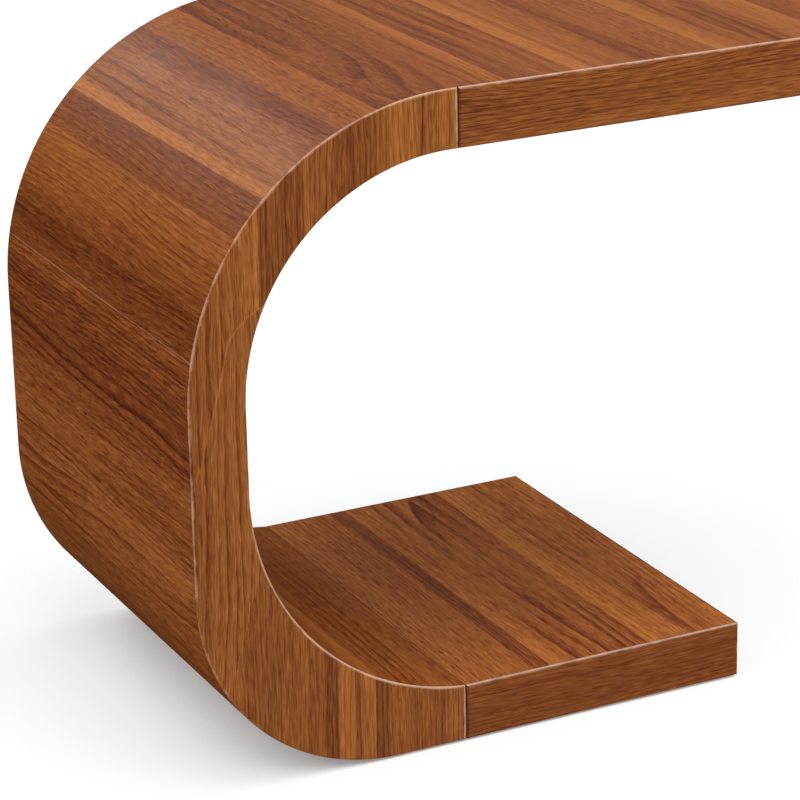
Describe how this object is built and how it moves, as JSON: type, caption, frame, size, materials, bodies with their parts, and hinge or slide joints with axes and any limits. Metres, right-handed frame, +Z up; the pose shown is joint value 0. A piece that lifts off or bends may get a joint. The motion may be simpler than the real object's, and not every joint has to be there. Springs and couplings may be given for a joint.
{
  "type": "c-shaped end table",
  "caption": "C-shaped end table in walnut veneer: a thick back that bends round into a cantilevered top panel and a shorter base panel that slides under a sofa.",
  "frame": {"origin": "centre of the bounding box, on the floor", "axes": "+X from the back towards the free ends of the top and base, +Y from the front face to the rear face, +Z up"},
  "size_m": [0.66, 0.41, 0.571],
  "materials": {
    "walnut_face": "satin walnut veneer, grain across the depth",
    "walnut_back_facing": "satin walnut veneer, upright grain",
    "walnut_edge_facing": "satin walnut veneer, grain along the edge",
    "walnut_end_facing": "satin walnut veneer, grain along the edge",
    "rib_board": "raw fibreboard",
    "frame_wood": "planed softwood",
    "core_board": "raw particle board",
    "dowel_wood": "raw beech",
    "bolt_steel": "zinc-plated",
    "cam_zinc": "die-cast",
    "cap_plastic": "matte",
    "pad_felt": "pressed felt"
  },
  "bodies": {
    "root": {"back_outer_skin_upper": "walnut_face", "back_outer_skin_lower": "walnut_face", "back_inner_skin_upper": "walnut_face", "back_inner_skin_lower": "walnut_face", "top_upper_skin": "walnut_face", "top_lower_skin": "walnut_face", "base_upper_skin": "walnut_face", "base_lower_skin": "walnut_face", "back_front_facing": "walnut_back_facing", "back_rear_facing": "walnut_back_facing", "top_front_facing": "walnut_edge_facing", "top_rear_facing": "walnut_edge_facing", "base_front_facing": "walnut_edge_facing", "base_rear_facing": "walnut_edge_facing", "top_end_facing": "walnut_end_facing", "base_end_facing": "walnut_end_facing", "back_ribs": "rib_board", "outer_seam_strip": "frame_wood", "inner_seam_strip": "frame_wood", "top_joint_batten": "frame_wood", "base_joint_batten": "frame_wood", "top_joint_rail": "frame_wood", "top_end_rail": "frame_wood", "top_side_rails": "frame_wood", "top_cross_slats": "frame_wood", "base_core": "core_board", "top_joint_dowels": "dowel_wood", "base_joint_dowels": "dowel_wood", "top_cam_bolts": "bolt_steel", "base_cam_bolts": "bolt_steel", "top_joint_cams": "cam_zinc", "base_joint_cams": "cam_zinc", "top_cam_caps": "cap_plastic", "floor_pads": "pad_felt"}
  },
  "joints": []
}
